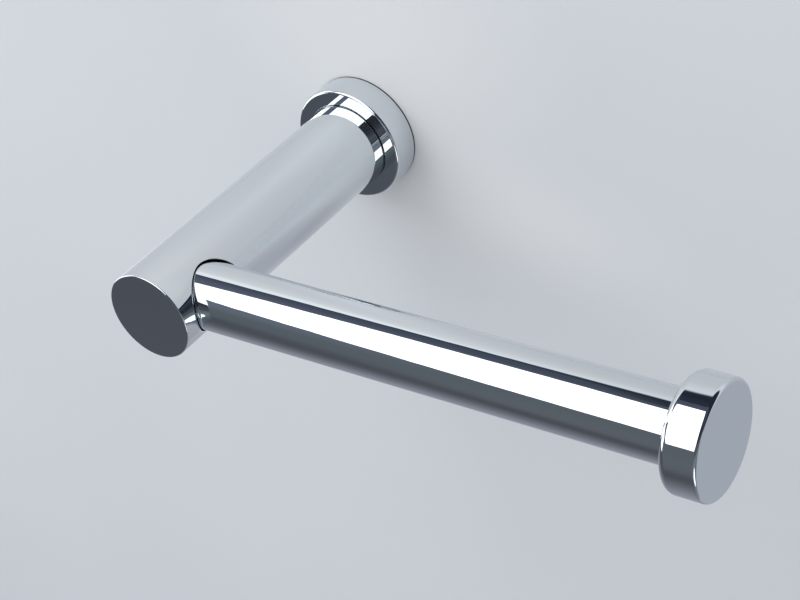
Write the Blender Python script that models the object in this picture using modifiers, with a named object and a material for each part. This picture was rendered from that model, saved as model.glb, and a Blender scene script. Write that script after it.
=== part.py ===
"""Toilet roll holder in chromed brass: wall rose, tubular post and a straight roll bar that ends in a disc.

The back of the wall bracket lies in the plane y = 0 and the wall fills y > 0. The post points along -Y,
out of the wall, the roll bar runs along +X, and +Z is up. All sizes are in metres.
"""

import math

import bpy

# Clearances
SEAT_GAP = 0.0003  # between pieces that touch or rest on each other
CUTTER_OVERRUN = 0.002  # how far a cutter passes the face it opens
BAR_BORE_CLEARANCE = 0.0005  # shadow gap round the bar where it enters the post
POST_RECESS_CLEARANCE = 0.00035  # shadow gap round the post where it enters the rose

# Roll bar and what is in it
BAR_DIAMETER = 0.018
BAR_WALL = 0.0018
BAR_CLEAR_LENGTH = 0.1314  # from the post's side to the disc
BAR_AXIS_PROJECTION = 0.084  # from the wall to the bar's axis
BAR_ANCHOR_LENGTH = 0.016
BAR_END_PLUG_LENGTH = 0.012

# Disc on the bar's end
DISC_LIP = 0.0053  # how far it stands out all round the bar
DISC_THICKNESS = 0.0096
DISC_OUTER_EDGE_RADIUS = 0.001
DISC_INNER_EDGE_RADIUS = 0.002
DISC_STUD_DIAMETER = 0.006
DISC_STUD_IN_PLUG = 0.007
DISC_STUD_IN_DISC = 0.0067
DISC_STUD_CHAMFER = 0.0006

# Post
POST_WALL = 0.002
POST_BORE_MARGIN = 0.0015  # from the bar's side to the post's bore
POST_FRONT_THICKNESS = 0.004
POST_FRONT_LAND = 0.0005  # between the bar's bore and the closed front
POST_EDGE_RADIUS = 0.0003
POST_FOOT_LENGTH = 0.012

# Tie bolt and spring washer
BOLT_DIAMETER = 0.005
BOLT_HEAD_DIAMETER = 0.0095
BOLT_HEAD_HEIGHT = 0.00275
BOLT_HEAD_TOP_DIAMETER = 0.0052
BOLT_SOCKET_ACROSS_FLATS = 0.003
BOLT_SOCKET_DEPTH = 0.0016
BOLT_PAST_BAR_AXIS = 0.0012
BOLT_CHAMFER = 0.0005
SPRING_WASHER_WIDTH = 0.0018  # of its section, from the bore to the outside
SPRING_WASHER_THICKNESS = 0.0012
SPRING_WASHER_SPLIT = 0.0008

# Rose
ROSE_LIP = 0.00465  # how far it stands out all round the post
ROSE_WALL_GAP = 0.0004  # thin dark line between the rose and the wall
ROSE_SKIRT_WALL = 0.0022
ROSE_WEB = 0.0015  # under the post
ROSE_RECESS_DEPTH = 0.00055
ROSE_EDGE_RADIUS = 0.0008

# Grub screw that locks the rose on the bracket, and the pin that stops the post from turning
GRUB_DIAMETER = 0.003
GRUB_TIP_DIAMETER = 0.0006
GRUB_SINK = 0.0004
GRUB_SOCKET_ACROSS_FLATS = 0.0015
GRUB_SOCKET_DEPTH = 0.0013
GRUB_LAND = 0.0006  # between the grub screw's hole and the rose's back edge
PIN_DIAMETER = 0.0025
PIN_LAND = 0.00165  # between its hole and the outside of the post's foot
PIN_IN_FOOT = 0.0055
PIN_CHAMFER = 0.0003

# Wall bracket
BRACKET_FLOOR = 0.002  # behind the pocket for the bolt's head
BRACKET_RIM = 0.00085  # between a countersink and the rim
BRACKET_LIP = 0.0007  # in front of the groove
GROOVE_MARGIN = 0.0002  # groove depth past the grub screw's radius
POCKET_CLEARANCE = 0.00065

# Wall screws and plugs
SCREW_DIAMETER = 0.0035
SCREW_HEAD_DIAMETER = 0.007
SCREW_HEAD_RIM = 0.0003
SCREW_LENGTH = 0.03
SCREW_POINT = 0.004
SCREW_SINK = 0.0004  # below the bracket's front
CROSS_LENGTH = 0.0036
CROSS_WIDTH = 0.0009
CROSS_DEPTH = 0.0013
PLUG_DIAMETER = 0.006
PLUG_SINK = 0.0023  # behind the wall's face, clear of a tile's glaze
PLUG_TIP_WALL = 0.002
PLUG_RIB_HEIGHT = 0.0003
PLUG_COLLAR = 0.002

# Roundness of the turned pieces
LARGE_STEPS = 72
SMALL_STEPS = 32
EDGE_STEPS = 4
PLUG_RIB_COUNT = 7
MERGE_DISTANCE = 0.00001
SMOOTH_ANGLE = math.radians(30)

# Worked out from the sizes above: radii, and heights measured out of the wall
CONE_GAP = SEAT_GAP * math.sqrt(2)  # the seat gap square to a 45 degree cone, measured along its radius
BAR_RADIUS = BAR_DIAMETER / 2
BAR_BORE_RADIUS = BAR_RADIUS - BAR_WALL
PLUG_IN_BAR_RADIUS = BAR_BORE_RADIUS - SEAT_GAP
POST_BORE_RADIUS = BAR_RADIUS + POST_BORE_MARGIN
POST_RADIUS = POST_BORE_RADIUS + POST_WALL
ROSE_RADIUS = POST_RADIUS + ROSE_LIP
ROSE_INNER_RADIUS = ROSE_RADIUS - ROSE_SKIRT_WALL
BRACKET_RADIUS = ROSE_INNER_RADIUS - SEAT_GAP
BOLT_RADIUS = BOLT_DIAMETER / 2
BOLT_HOLE_RADIUS = BOLT_RADIUS + SEAT_GAP
BOLT_HEAD_RADIUS = BOLT_HEAD_DIAMETER / 2
GRUB_RADIUS = GRUB_DIAMETER / 2
GRUB_HOLE_RADIUS = GRUB_RADIUS + SEAT_GAP
PIN_RADIUS = PIN_DIAMETER / 2
PIN_HOLE_RADIUS = PIN_RADIUS + SEAT_GAP
POST_FOOT_RADIUS = POST_BORE_RADIUS - SEAT_GAP
PIN_OFFSET = POST_FOOT_RADIUS - PIN_LAND - PIN_HOLE_RADIUS
WASHER_RADIUS = BOLT_HOLE_RADIUS + SPRING_WASHER_WIDTH
SCREW_RADIUS = SCREW_DIAMETER / 2
SCREW_HEAD_RADIUS = SCREW_HEAD_DIAMETER / 2
SCREW_HOLE_RADIUS = SCREW_RADIUS + SEAT_GAP
COUNTERSINK_RADIUS = SCREW_HEAD_RADIUS + SEAT_GAP
SCREW_OFFSET = BRACKET_RADIUS - BRACKET_RIM - COUNTERSINK_RADIUS
DISC_RADIUS = BAR_RADIUS + DISC_LIP
STUD_RADIUS = DISC_STUD_DIAMETER / 2
STUD_HOLE_RADIUS = STUD_RADIUS + SEAT_GAP

GROOVE_DEPTH = GRUB_RADIUS + GROOVE_MARGIN
GROOVE_HEIGHT = ROSE_WALL_GAP + GRUB_LAND + GRUB_HOLE_RADIUS
BRACKET_FRONT = GROOVE_HEIGHT + GROOVE_DEPTH + BRACKET_LIP
BOLT_HEAD_BACK = BRACKET_FLOOR + SEAT_GAP
BOLT_HEAD_SEAT = BOLT_HEAD_BACK + BOLT_HEAD_HEIGHT
WASHER_BACK = BOLT_HEAD_SEAT + SEAT_GAP
WASHER_FRONT = WASHER_BACK + SPRING_WASHER_THICKNESS
WEB_BACK = WASHER_FRONT + SEAT_GAP
RECESS_FLOOR = WEB_BACK + ROSE_WEB
ROSE_FRONT = RECESS_FLOOR + ROSE_RECESS_DEPTH
POST_BACK = RECESS_FLOOR + SEAT_GAP
BAR_HOLE_RADIUS = BAR_RADIUS + BAR_BORE_CLEARANCE
POST_BORE_END = BAR_AXIS_PROJECTION + BAR_HOLE_RADIUS + POST_FRONT_LAND
POST_FRONT = POST_BORE_END + POST_FRONT_THICKNESS
BOLT_TIP = BAR_AXIS_PROJECTION + BOLT_PAST_BAR_AXIS
PIN_BACK = WEB_BACK + SEAT_GAP
PIN_FRONT = POST_BACK + PIN_IN_FOOT
SCREW_TOP = BRACKET_FRONT - SCREW_SINK
SCREW_TIP = SCREW_TOP - SCREW_LENGTH

# Worked out from the sizes above: places along the bar, from the post's axis
BAR_START = -math.sqrt((POST_BORE_RADIUS - SEAT_GAP) ** 2 - BAR_RADIUS**2)
DISC_INNER = POST_RADIUS + BAR_CLEAR_LENGTH
DISC_OUTER = DISC_INNER + DISC_THICKNESS
BAR_END = DISC_INNER - SEAT_GAP

CHROME = ((0.80, 0.81, 0.83), 1.0, 0.04)
BRASS = ((0.62, 0.47, 0.22), 1.0, 0.30)
STEEL = ((0.52, 0.53, 0.55), 1.0, 0.32)
ZINC_PLATE = ((0.63, 0.65, 0.68), 1.0, 0.28)
GREY_NYLON = ((0.42, 0.43, 0.45), 0.0, 0.50)


def clear_scene():
    """Removes every object that the new file starts with."""
    for item in list(bpy.data.objects):
        bpy.data.objects.remove(item, do_unlink=True)


def new_collection(name):
    collection = bpy.data.collections.new(name)
    bpy.context.scene.collection.children.link(collection)
    return collection


def new_axis(name, location, rotation):
    """An empty whose local +Z is the axis that turned pieces stand on."""
    axis = bpy.data.objects.new(name, None)
    axis.location = location
    axis.rotation_euler = rotation
    PARTS.objects.link(axis)
    return axis


def new_material(name, finish):
    """A Principled material from a colour, a metallic value and a roughness."""
    colour, metallic, roughness = finish
    material = bpy.data.materials.new(name)
    material.use_nodes = True
    shader = material.node_tree.nodes["Principled BSDF"]
    shader.inputs["Base Color"].default_value = (*colour, 1.0)
    shader.inputs["Metallic"].default_value = metallic
    shader.inputs["Roughness"].default_value = roughness
    return material


def arc(centre, radius, start, end, steps=EDGE_STEPS):
    """Points of a circular arc in a profile, from one angle to another, in degrees."""
    points = []
    for step in range(steps + 1):
        angle = math.radians(start + (end - start) * step / steps)
        points.append((centre[0] + radius * math.cos(angle), centre[1] + radius * math.sin(angle)))
    return points


def turned_mesh(name, profile, closed):
    """The outline of a turned piece, as (radius, height) points that run down its outer side."""
    edges = [(first, first + 1) for first in range(len(profile) - 1)]
    if closed:
        edges.append((len(profile) - 1, 0))
    mesh = bpy.data.meshes.new(name)
    mesh.from_pydata([(radius, 0, height) for radius, height in profile], edges, [])
    return mesh


def turned(name, profile, axis, steps, closed=False, place=(0, 0, 0)):
    """A profile turned round its axis: closed, it makes a ring, and open, it starts and ends on the axis."""
    piece = bpy.data.objects.new(name, turned_mesh(name, profile, closed))
    screw = piece.modifiers.new("Turn", "SCREW")
    screw.axis = "Z"
    screw.angle = math.tau
    screw.steps = steps
    screw.render_steps = steps
    screw.use_merge_vertices = True
    screw.merge_threshold = MERGE_DISTANCE
    piece.parent = axis
    piece.location = place
    return piece


def part(piece, finish):
    """Files a piece with the holder's parts and gives it its finish."""
    PARTS.objects.link(piece)
    piece.data.materials.append(new_material(piece.name, finish))
    return piece


def cutter(piece):
    """Files a piece with the cutters, where it isn't part of the model."""
    CUTTERS.objects.link(piece)
    piece.hide_render = True
    piece.display_type = "WIRE"
    return piece


def rod_cutter(name, radius, low, high, axis, steps=SMALL_STEPS, place=(0, 0, 0)):
    profile = [(0, high), (radius, high), (radius, low), (0, low)]
    return cutter(turned(name, profile, axis, steps, place=place))


def box_cutter(name, size, centre, axis, turn=0):
    """A box along its axis, for a slot or one stroke of a cross recess."""
    bpy.ops.mesh.primitive_cube_add(size=1)
    box = bpy.context.active_object
    box.name = name
    for collection in list(box.users_collection):
        collection.objects.unlink(box)
    box.parent = axis
    box.location = centre
    box.rotation_euler = (0, 0, turn)
    box.scale = size
    return cutter(box)


def cut(piece, tool):
    boolean = piece.modifiers.new(tool.name, "BOOLEAN")
    boolean.operation = "DIFFERENCE"
    boolean.solver = "EXACT"
    boolean.object = tool


def hexagon_radius(across_flats):
    return across_flats / math.sqrt(3)


def make_wall_bracket():
    """The turned plate inside the rose: a V-groove for the grub screw, a pocket for the bolt's head."""
    pocket = BOLT_HEAD_RADIUS + POCKET_CLEARANCE
    profile = [
        (0, BRACKET_FLOOR),
        (pocket, BRACKET_FLOOR),
        (pocket, BRACKET_FRONT),
        (BRACKET_RADIUS, BRACKET_FRONT),
        (BRACKET_RADIUS, GROOVE_HEIGHT + GROOVE_DEPTH),
        (BRACKET_RADIUS - GROOVE_DEPTH, GROOVE_HEIGHT),
        (BRACKET_RADIUS, GROOVE_HEIGHT - GROOVE_DEPTH),
        (BRACKET_RADIUS, 0),
        (0, 0),
    ]
    bracket = part(turned("wall_bracket", profile, POST_AXIS, LARGE_STEPS), STEEL)
    cone_foot = SCREW_TOP - SCREW_HEAD_RIM - (SCREW_HEAD_RADIUS - SCREW_RADIUS)
    shank_meets_cone = cone_foot + SCREW_HOLE_RADIUS - SCREW_RADIUS - CONE_GAP
    rim_meets_cone = cone_foot + COUNTERSINK_RADIUS - SCREW_RADIUS - CONE_GAP
    hole = [
        (0, BRACKET_FRONT + CUTTER_OVERRUN),
        (COUNTERSINK_RADIUS, BRACKET_FRONT + CUTTER_OVERRUN),
        (COUNTERSINK_RADIUS, rim_meets_cone),
        (SCREW_HOLE_RADIUS, shank_meets_cone),
        (SCREW_HOLE_RADIUS, -CUTTER_OVERRUN),
        (0, -CUTTER_OVERRUN),
    ]
    for side, offset in SIDES:
        tool = turned("screw_hole_" + side, hole, POST_AXIS, SMALL_STEPS, place=(offset, 0, 0))
        cut(bracket, cutter(tool))


def make_wall_fixings():
    """A countersunk wood screw and a ribbed nylon plug on each side of the post's axis."""
    cone_foot = SCREW_TOP - SCREW_HEAD_RIM - (SCREW_HEAD_RADIUS - SCREW_RADIUS)
    screw_profile = [
        (0, SCREW_TOP),
        (SCREW_HEAD_RADIUS, SCREW_TOP),
        (SCREW_HEAD_RADIUS, SCREW_TOP - SCREW_HEAD_RIM),
        (SCREW_RADIUS, cone_foot),
        (SCREW_RADIUS, SCREW_TIP + SCREW_POINT),
        (0, SCREW_TIP),
    ]
    plug_radius = PLUG_DIAMETER / 2
    plug_end = SCREW_TIP - SEAT_GAP - PLUG_TIP_WALL
    rib_pitch = (-PLUG_SINK - PLUG_COLLAR - plug_end) / PLUG_RIB_COUNT
    plug_profile = [
        (0, SCREW_TIP - SEAT_GAP),
        (SCREW_HOLE_RADIUS, SCREW_TIP + SCREW_POINT - SEAT_GAP),
        (SCREW_HOLE_RADIUS, -PLUG_SINK),
        (plug_radius, -PLUG_SINK),
    ]
    for rib in range(PLUG_RIB_COUNT):
        top = -PLUG_SINK - PLUG_COLLAR - rib * rib_pitch
        plug_profile += [(plug_radius, top), (plug_radius - PLUG_RIB_HEIGHT, top - rib_pitch)]
    plug_profile.append((0, plug_end))
    for side, offset in SIDES:
        place = (offset, 0, 0)
        screw = part(
            turned("bracket_screw_" + side, screw_profile, POST_AXIS, SMALL_STEPS, place=place),
            ZINC_PLATE,
        )
        recess = (CROSS_LENGTH, CROSS_WIDTH, CROSS_DEPTH + CUTTER_OVERRUN)
        recess_height = SCREW_TOP + (CUTTER_OVERRUN - CROSS_DEPTH) / 2
        for stroke in range(2):
            tool = box_cutter(
                "cross_" + side + str(stroke),
                recess,
                (offset, 0, recess_height),
                POST_AXIS,
                turn=math.radians(45 + 90 * stroke),
            )
            cut(screw, tool)
        part(
            turned("wall_plug_" + side, plug_profile, POST_AXIS, SMALL_STEPS, place=place),
            GREY_NYLON,
        )


def make_rose():
    """The turned cup against the wall. The post stands in its recess, the bolt passes through its web."""
    edge_centre = (ROSE_RADIUS - ROSE_EDGE_RADIUS, ROSE_FRONT - ROSE_EDGE_RADIUS)
    recess = POST_RADIUS + POST_RECESS_CLEARANCE
    profile = [
        (BOLT_HOLE_RADIUS, RECESS_FLOOR),
        (recess, RECESS_FLOOR),
        (recess, ROSE_FRONT),
        *arc(edge_centre, ROSE_EDGE_RADIUS, 90, 0),
        (ROSE_RADIUS, ROSE_WALL_GAP),
        (ROSE_INNER_RADIUS, ROSE_WALL_GAP),
        (ROSE_INNER_RADIUS, WEB_BACK),
        (BOLT_HOLE_RADIUS, WEB_BACK),
    ]
    rose = part(turned("rose", profile, POST_AXIS, LARGE_STEPS, closed=True), CHROME)
    cut(rose, PIN_HOLE)
    grub_hole = rod_cutter(
        "grub_hole",
        GRUB_HOLE_RADIUS,
        ROSE_INNER_RADIUS - SEAT_GAP - SEAT_GAP,
        ROSE_RADIUS + CUTTER_OVERRUN,
        GRUB_AXIS,
    )
    cut(rose, grub_hole)


def make_grub_screw():
    """The cone-point screw that reaches from the rose's underside into the bracket's groove."""
    top = ROSE_RADIUS - GRUB_SINK
    tip_radius = GRUB_TIP_DIAMETER / 2
    tip = BRACKET_RADIUS - GROOVE_DEPTH + CONE_GAP + tip_radius
    profile = [
        (0, top),
        (GRUB_RADIUS, top),
        (GRUB_RADIUS, tip + GRUB_RADIUS - tip_radius),
        (tip_radius, tip),
        (0, tip),
    ]
    grub = part(turned("rose_grub_screw", profile, GRUB_AXIS, SMALL_STEPS), STEEL)
    socket = rod_cutter(
        "grub_socket",
        hexagon_radius(GRUB_SOCKET_ACROSS_FLATS),
        top - GRUB_SOCKET_DEPTH,
        top + CUTTER_OVERRUN,
        GRUB_AXIS,
        steps=6,
    )
    cut(grub, socket)


def make_post():
    """The tube with a closed front, bored on its side for the bar."""
    edge_centre = (POST_RADIUS - POST_EDGE_RADIUS, POST_FRONT - POST_EDGE_RADIUS)
    profile = [
        (0, POST_FRONT),
        *arc(edge_centre, POST_EDGE_RADIUS, 90, 0),
        (POST_RADIUS, POST_BACK),
        (POST_BORE_RADIUS, POST_BACK),
        (POST_BORE_RADIUS, POST_BORE_END),
        (0, POST_BORE_END),
    ]
    post = part(turned("post", profile, POST_AXIS, LARGE_STEPS), CHROME)
    side_bore = rod_cutter(
        "side_bore", BAR_HOLE_RADIUS, 0, POST_RADIUS + CUTTER_OVERRUN, BAR_AXIS, steps=LARGE_STEPS
    )
    cut(post, side_bore)


def make_post_foot():
    """The bush in the post's wall end, with the bolt's hole and a blind hole for the pin."""
    front = POST_BACK + POST_FOOT_LENGTH
    profile = [
        (POST_FOOT_RADIUS, front),
        (POST_FOOT_RADIUS, POST_BACK),
        (BOLT_HOLE_RADIUS, POST_BACK),
        (BOLT_HOLE_RADIUS, front),
    ]
    foot = part(turned("post_foot", profile, POST_AXIS, LARGE_STEPS, closed=True), BRASS)
    cut(foot, PIN_HOLE)


def make_locating_pin():
    profile = [
        (0, PIN_FRONT),
        (PIN_RADIUS - PIN_CHAMFER, PIN_FRONT),
        (PIN_RADIUS, PIN_FRONT - PIN_CHAMFER),
        (PIN_RADIUS, PIN_BACK + PIN_CHAMFER),
        (PIN_RADIUS - PIN_CHAMFER, PIN_BACK),
        (0, PIN_BACK),
    ]
    part(turned("locating_pin", profile, POST_AXIS, SMALL_STEPS, place=(0, PIN_OFFSET, 0)), STEEL)


def make_tie_bolt():
    """The long button-head bolt from the rose's inside to the bar's anchor."""
    top_radius = BOLT_HEAD_TOP_DIAMETER / 2
    dome = []
    for step in range(EDGE_STEPS + 1):
        angle = math.radians(90) * step / EDGE_STEPS
        dome.append(
            (
                top_radius + (BOLT_HEAD_RADIUS - top_radius) * math.cos(angle),
                BOLT_HEAD_SEAT - BOLT_HEAD_HEIGHT * math.sin(angle),
            )
        )
    profile = [
        (0, BOLT_TIP),
        (BOLT_RADIUS - BOLT_CHAMFER, BOLT_TIP),
        (BOLT_RADIUS, BOLT_TIP - BOLT_CHAMFER),
        (BOLT_RADIUS, BOLT_HEAD_SEAT),
        *dome,
        (0, BOLT_HEAD_BACK),
    ]
    bolt = part(turned("tie_bolt", profile, POST_AXIS, SMALL_STEPS), ZINC_PLATE)
    socket = rod_cutter(
        "bolt_socket",
        hexagon_radius(BOLT_SOCKET_ACROSS_FLATS),
        BOLT_HEAD_BACK - CUTTER_OVERRUN,
        BOLT_HEAD_BACK + BOLT_SOCKET_DEPTH,
        POST_AXIS,
        steps=6,
    )
    cut(bolt, socket)


def make_spring_washer():
    profile = [
        (WASHER_RADIUS, WASHER_FRONT),
        (WASHER_RADIUS, WASHER_BACK),
        (BOLT_HOLE_RADIUS, WASHER_BACK),
        (BOLT_HOLE_RADIUS, WASHER_FRONT),
    ]
    washer = part(turned("spring_washer", profile, POST_AXIS, SMALL_STEPS, closed=True), STEEL)
    split = box_cutter(
        "washer_split",
        (SPRING_WASHER_SPLIT, WASHER_RADIUS + WASHER_RADIUS, SPRING_WASHER_THICKNESS + CUTTER_OVERRUN),
        (0, -WASHER_RADIUS, (WASHER_BACK + WASHER_FRONT) / 2),
        POST_AXIS,
    )
    cut(washer, split)


def make_roll_bar():
    """The tube that the roll hangs on, drilled across for the tie bolt where it lies in the post."""
    profile = [
        (BAR_RADIUS, BAR_END),
        (BAR_RADIUS, BAR_START),
        (BAR_BORE_RADIUS, BAR_START),
        (BAR_BORE_RADIUS, BAR_END),
    ]
    bar = part(turned("roll_bar", profile, BAR_AXIS, LARGE_STEPS, closed=True), CHROME)
    cut(bar, BOLT_HOLE)


def make_bar_anchor():
    """The plug in the bar's inner end, tapped across for the tie bolt."""
    front = BAR_START + BAR_ANCHOR_LENGTH
    profile = [(0, front), (PLUG_IN_BAR_RADIUS, front), (PLUG_IN_BAR_RADIUS, BAR_START), (0, BAR_START)]
    anchor = part(turned("bar_anchor", profile, BAR_AXIS, SMALL_STEPS), BRASS)
    cut(anchor, BOLT_HOLE)


def make_bar_end_plug():
    """The plug in the bar's outer end, tapped along its axis for the disc's stud."""
    start = BAR_END - BAR_END_PLUG_LENGTH
    profile = [
        (PLUG_IN_BAR_RADIUS, BAR_END),
        (PLUG_IN_BAR_RADIUS, start),
        (STUD_HOLE_RADIUS, start),
        (STUD_HOLE_RADIUS, BAR_END),
    ]
    part(turned("bar_end_plug", profile, BAR_AXIS, SMALL_STEPS, closed=True), BRASS)


def make_end_disc():
    """The disc with a small round outer edge, a softer inner edge and a blind hole for its stud."""
    outer_centre = (DISC_RADIUS - DISC_OUTER_EDGE_RADIUS, DISC_OUTER - DISC_OUTER_EDGE_RADIUS)
    inner_centre = (DISC_RADIUS - DISC_INNER_EDGE_RADIUS, DISC_INNER + DISC_INNER_EDGE_RADIUS)
    hole_end = DISC_INNER + DISC_STUD_IN_DISC + SEAT_GAP
    profile = [
        (0, DISC_OUTER),
        *arc(outer_centre, DISC_OUTER_EDGE_RADIUS, 90, 0),
        *arc(inner_centre, DISC_INNER_EDGE_RADIUS, 0, -90),
        (STUD_HOLE_RADIUS, DISC_INNER),
        (STUD_HOLE_RADIUS, hole_end),
        (0, hole_end),
    ]
    part(turned("end_disc", profile, BAR_AXIS, LARGE_STEPS), CHROME)


def make_disc_stud():
    start = BAR_END - DISC_STUD_IN_PLUG
    end = DISC_INNER + DISC_STUD_IN_DISC
    profile = [
        (0, end),
        (STUD_RADIUS - DISC_STUD_CHAMFER, end),
        (STUD_RADIUS, end - DISC_STUD_CHAMFER),
        (STUD_RADIUS, start + DISC_STUD_CHAMFER),
        (STUD_RADIUS - DISC_STUD_CHAMFER, start),
        (0, start),
    ]
    part(turned("disc_stud", profile, BAR_AXIS, SMALL_STEPS), STEEL)


def finish_meshes():
    """Applies each part's modifiers, then shades it smooth with its real edges sharp."""
    bpy.context.view_layer.update()
    depsgraph = bpy.context.evaluated_depsgraph_get()
    pieces = [item for item in PARTS.objects if item.type == "MESH"]
    meshes = [bpy.data.meshes.new_from_object(item.evaluated_get(depsgraph)) for item in pieces]
    for piece, mesh in zip(pieces, meshes):
        piece.modifiers.clear()
        piece.data = mesh
        mesh.name = piece.name
        mesh.shade_smooth()
        mesh.set_sharp_from_angle(angle=SMOOTH_ANGLE)


clear_scene()
PARTS = new_collection("toilet_roll_holder")
CUTTERS = new_collection("cutters")
SIDES = (("left", -SCREW_OFFSET), ("right", SCREW_OFFSET))

# Local +Z is out of the wall on the post's axis, along +X on the bar's and straight down on the grub screw's
POST_AXIS = new_axis("post_axis", (0, 0, 0), (math.radians(90), 0, 0))
BAR_AXIS = new_axis("bar_axis", (0, -BAR_AXIS_PROJECTION, 0), (0, math.radians(90), 0))
GRUB_AXIS = new_axis("grub_axis", (0, -GROOVE_HEIGHT, 0), (math.radians(180), 0, 0))

PIN_HOLE = rod_cutter(
    "pin_hole",
    PIN_HOLE_RADIUS,
    WEB_BACK - CUTTER_OVERRUN,
    PIN_FRONT + SEAT_GAP,
    POST_AXIS,
    place=(0, PIN_OFFSET, 0),
)
BOLT_HOLE = rod_cutter(
    "bolt_hole",
    BOLT_HOLE_RADIUS,
    BAR_AXIS_PROJECTION - BAR_RADIUS - CUTTER_OVERRUN,
    BOLT_TIP + SEAT_GAP,
    POST_AXIS,
)

make_wall_bracket()
make_wall_fixings()
make_rose()
make_grub_screw()
make_post()
make_post_foot()
make_locating_pin()
make_tie_bolt()
make_spring_washer()
make_roll_bar()
make_bar_anchor()
make_bar_end_plug()
make_end_disc()
make_disc_stud()
finish_meshes()
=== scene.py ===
import math
from collections import namedtuple

import bmesh
import bpy
from mathutils import Euler, Matrix, Vector


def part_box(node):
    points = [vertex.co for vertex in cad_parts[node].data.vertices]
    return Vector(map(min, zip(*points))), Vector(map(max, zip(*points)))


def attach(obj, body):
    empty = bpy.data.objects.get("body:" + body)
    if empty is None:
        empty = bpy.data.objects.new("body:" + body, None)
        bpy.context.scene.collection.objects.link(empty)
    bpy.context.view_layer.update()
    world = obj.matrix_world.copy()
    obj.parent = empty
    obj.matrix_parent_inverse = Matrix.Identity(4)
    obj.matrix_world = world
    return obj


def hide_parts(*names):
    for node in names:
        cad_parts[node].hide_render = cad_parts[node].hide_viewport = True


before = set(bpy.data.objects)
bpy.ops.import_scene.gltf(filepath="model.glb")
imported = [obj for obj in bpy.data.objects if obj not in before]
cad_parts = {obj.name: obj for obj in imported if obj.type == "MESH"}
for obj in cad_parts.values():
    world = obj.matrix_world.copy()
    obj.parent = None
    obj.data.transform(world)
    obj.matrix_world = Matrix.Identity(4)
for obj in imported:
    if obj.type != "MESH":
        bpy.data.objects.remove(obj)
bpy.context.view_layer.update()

# A wall-held toilet roll holder in bright chrome plate. The wall is the plane y = 0 and the room is on its -Y
# side. The post points along -Y, the roll bar along +X, and +Z is up. Heights are measured out of the wall.

MM = 0.001

# Walls, edges and gaps of the chromed pieces, as the solids have them
POST_WALL = 2.0 * MM
POST_FRONT_WALL = 4.0 * MM
POST_EDGE_RADIUS = 0.3 * MM
BAR_WALL = 1.8 * MM
BOLT_HOLE_RADIUS = 2.8 * MM
DISC_OUTER_EDGE_RADIUS = 1.0 * MM
ROSE_SKIRT_WALL = 2.2 * MM
ROSE_WEB = 1.5 * MM
ROSE_EDGE_RADIUS = 0.8 * MM
RECESS_DEPTH = 0.55 * MM
RECESS_CLEARANCE = 0.35 * MM
SEAT_GAP = 0.3 * MM  # round the stud, the pin and the grub screw in their holes

# Edges that are the scene's own
BROKEN_EDGE = 0.1 * MM  # on edges that the photograph shows as sharp
DISC_INNER_EDGE_RADIUS = 2.2 * MM
BAR_HOLE_RADIUS = 9.38 * MM
BAR_HOLE_SHIFT = 0.2 * MM  # how far the hole's middle sits nearer the wall than the bar's
BAR_HOLE_LIP = 1.0 * MM  # the radius of the hole's rolled lip on its front
BAR_HOLE_BACK_LIP = 0.12 * MM  # and on its side towards the wall

# The other sizes come from the frame
FRAME_DIGITS = 7  # decimals of a metre that its numbers are good for
BoxCorner = namedtuple("BoxCorner", "x y z")


def box_of(node):
    """The low and the high corner of a solid's box."""
    return [BoxCorner(*(round(value, FRAME_DIGITS) for value in point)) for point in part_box(node)]


POST_LOW, POST_HIGH = box_of("post")
BAR_LOW, BAR_HIGH = box_of("roll_bar")
DISC_LOW, DISC_HIGH = box_of("end_disc")
ROSE_LOW, ROSE_HIGH = box_of("rose")
GRUB_LOW, GRUB_HIGH = box_of("rose_grub_screw")
PIN_LOW, PIN_HIGH = box_of("locating_pin")
STUD_HIGH = box_of("disc_stud")[1]
BRACKET_HIGH = box_of("wall_bracket")[1]
POST_RADIUS = POST_HIGH.x
POST_BORE_RADIUS = POST_RADIUS - POST_WALL
POST_BACK = -POST_HIGH.y
POST_FRONT = -POST_LOW.y
POST_BORE_END = POST_FRONT - POST_FRONT_WALL
BAR_PROJECTION = -(BAR_LOW.y + BAR_HIGH.y) / 2
BAR_RADIUS = BAR_HIGH.z
BAR_BORE_RADIUS = BAR_RADIUS - BAR_WALL
BAR_START = BAR_LOW.x
BAR_END = BAR_HIGH.x
DISC_RADIUS = DISC_HIGH.z
DISC_INNER = DISC_LOW.x
DISC_OUTER = DISC_HIGH.x
STUD_HOLE_RADIUS = STUD_HIGH.z + SEAT_GAP
STUD_HOLE_END = STUD_HIGH.x + SEAT_GAP
ROSE_RADIUS = ROSE_HIGH.x
ROSE_INNER_RADIUS = ROSE_RADIUS - ROSE_SKIRT_WALL
ROSE_BACK = -ROSE_HIGH.y
ROSE_FRONT = -ROSE_LOW.y
RECESS_RADIUS = POST_RADIUS + RECESS_CLEARANCE
RECESS_FLOOR = ROSE_FRONT - RECESS_DEPTH
WEB_BACK = RECESS_FLOOR - ROSE_WEB
GRUB_HOLE_RADIUS = GRUB_HIGH.x + SEAT_GAP
GRUB_HEIGHT = -(GRUB_LOW.y + GRUB_HIGH.y) / 2
PIN_HOLE_RADIUS = PIN_HIGH.x + SEAT_GAP
PIN_OFFSET = (PIN_LOW.z + PIN_HIGH.z) / 2
BRACKET_RADIUS = BRACKET_HIGH.x

# How finely they are turned
TURN_STEPS = 288
ARC_STEPS = 8
LIP_STEPS = 16
GRID_STEPS = 1e8  # steps to the metre of the grid on which points that meet are found to be one
# A window is the stretch of a turned surface round a cross hole
WINDOW_RINGS = 10
WINDOW_CROWDING = 1.5  # how strongly its rings draw together towards the hole
WINDOW_ROW_STEPS = 5  # how many steps round its piece give it one more row
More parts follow.
